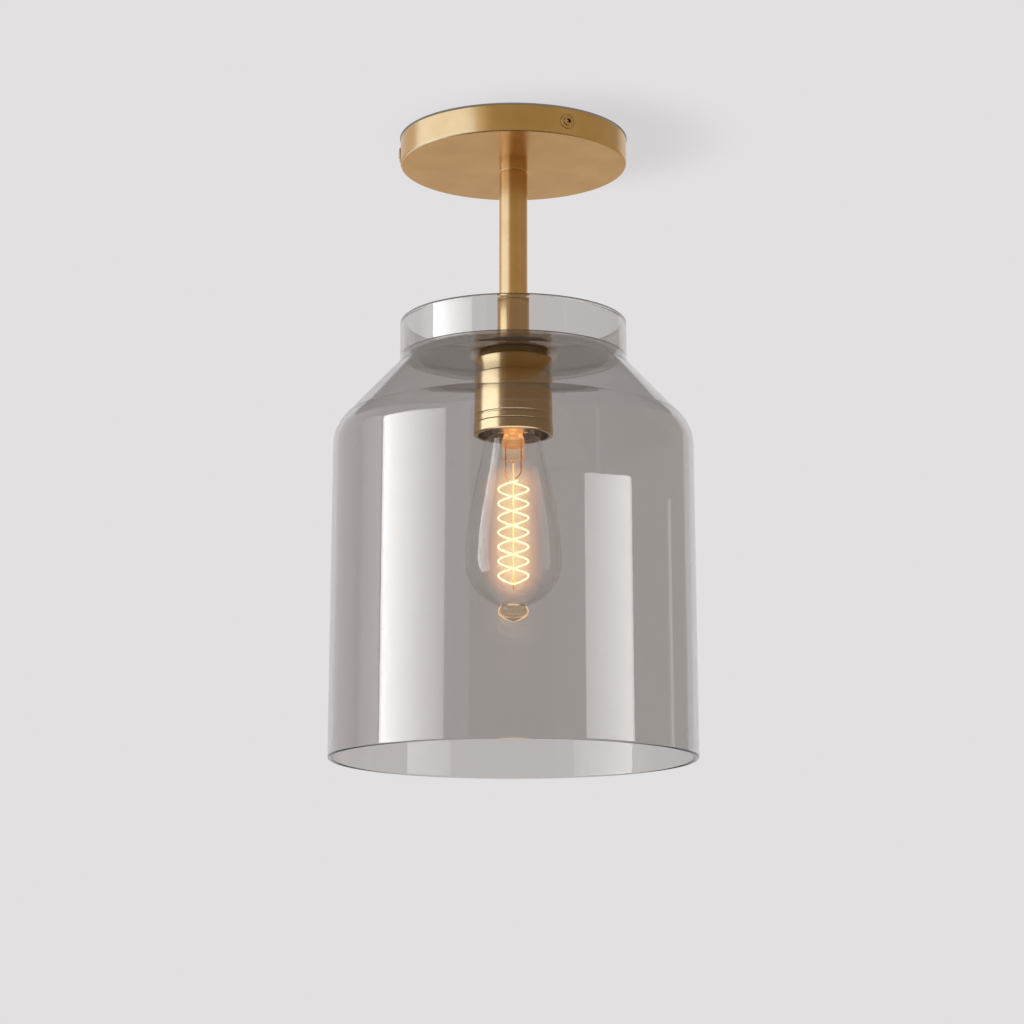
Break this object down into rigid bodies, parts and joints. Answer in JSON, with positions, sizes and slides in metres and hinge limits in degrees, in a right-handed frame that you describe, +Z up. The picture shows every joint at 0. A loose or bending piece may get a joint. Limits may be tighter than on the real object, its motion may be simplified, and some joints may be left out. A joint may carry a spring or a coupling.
{
  "type": "semi-flush ceiling light",
  "caption": "Ceiling light with a round brass canopy and short stem, an open smoked-glass jar shade with a necked top, and a screw-in lamp with a wound filament.",
  "frame": {"origin": "centre of the canopy in the ceiling plane, midway between the two box screw slots", "axes": "+Z up into the ceiling along the stem, +X along the line of the box screw slots, -Y towards the front with the visible side screw right of centre"},
  "size_m": [0.241, 0.241, 0.42],
  "materials": {
    "lacquered_brass": "satin turned and lacquered",
    "raw_brass": "plain machined",
    "smoked_glass": "blown, smoke grey, clear",
    "clear_glass": "blown, clear",
    "zinc_steel": "zinc plated sheet",
    "green_steel": "green dipped",
    "porcelain": "glazed white",
    "gasket_rubber": "moulded",
    "black_insulation": "extruded",
    "white_insulation": "extruded",
    "green_insulation": "extruded",
    "wire_nut_shell": "moulded",
    "lamp_cap": "drawn and rolled",
    "lamp_insulator": "black vitrite",
    "lamp_wire": "drawn nickel wire",
    "filament_glow": "glowing wound filament"
  },
  "bodies": {
    "fixture": {"canopy": "lacquered_brass", "canopy_nut": "raw_brass", "center_contact": "raw_brass", "clamp_disc": "lacquered_brass", "coupling_sleeve": "lacquered_brass", "glass_shade": "smoked_glass", "ground_screw": "green_steel", "ground_wire": "green_insulation", "lampholder_body": "porcelain", "lampholder_strap": "zinc_steel", "lock_washer": "zinc_steel", "lower_gasket": "gasket_rubber", "lower_nipple": "raw_brass", "mounting_plate": "zinc_steel", "screw_shell": "raw_brass", "socket_cap": "lacquered_brass", "socket_nut": "raw_brass", "socket_ring": "lacquered_brass", "socket_shell": "lacquered_brass", "stem_collar": "lacquered_brass", "stem_tube": "lacquered_brass", "strap_screws": "zinc_steel", "terminal_screws": "raw_brass", "upper_gasket": "gasket_rubber", "upper_nipple": "raw_brass", "wire_live": "black_insulation", "wire_neutral": "white_insulation", "wire_nut_ground": "wire_nut_shell", "wire_nut_live": "wire_nut_shell", "wire_nut_neutral": "wire_nut_shell"},
    "bulb_contact": {"bulb_tip_contact": "lamp_cap"},
    "bulb": {"bulb_envelope": "clear_glass", "bulb_screw_cap": "lamp_cap", "bulb_insulator": "lamp_insulator", "bulb_glass_stem": "clear_glass", "bulb_lead_wires": "lamp_wire", "filament": "filament_glow", "filament_hook": "lamp_wire"},
    "side_screw_1": {"canopy_screw_1": "lacquered_brass", "canopy_washer_1": "lacquered_brass"},
    "side_screw_2": {"canopy_screw_2": "lacquered_brass", "canopy_washer_2": "lacquered_brass"},
    "side_screw_3": {"canopy_screw_3": "lacquered_brass", "canopy_washer_3": "lacquered_brass"}
  },
  "joints": [
    {"name": "bulb_travel", "type": "slide", "parent": "fixture", "child": "bulb_contact", "axis": [0, 0, 1], "range_m": [-0.0218, 0]},
    {"name": "bulb_turn", "type": "hinge", "parent": "bulb_contact", "child": "bulb", "pos_m": [0, 0, -0.19], "axis": [0, 0, 1], "range_deg": [-2160, 0]},
    {"name": "screw_1_travel", "type": "slide", "parent": "fixture", "child": "side_screw_1", "axis": [0.4648, -0.8854, 0], "range_m": [0, 0.00421]},
    {"name": "screw_2_travel", "type": "slide", "parent": "fixture", "child": "side_screw_2", "axis": [0.5344, 0.8453, 0], "range_m": [0, 0.00421]},
    {"name": "screw_3_travel", "type": "slide", "parent": "fixture", "child": "side_screw_3", "axis": [-0.9992, 0.0401, 0], "range_m": [0, 0.00421]}
  ],
  "couplings": [
    {"joint": "bulb_travel", "follows": "bulb_turn", "m_per_rad": 0.00057757}
  ]
}
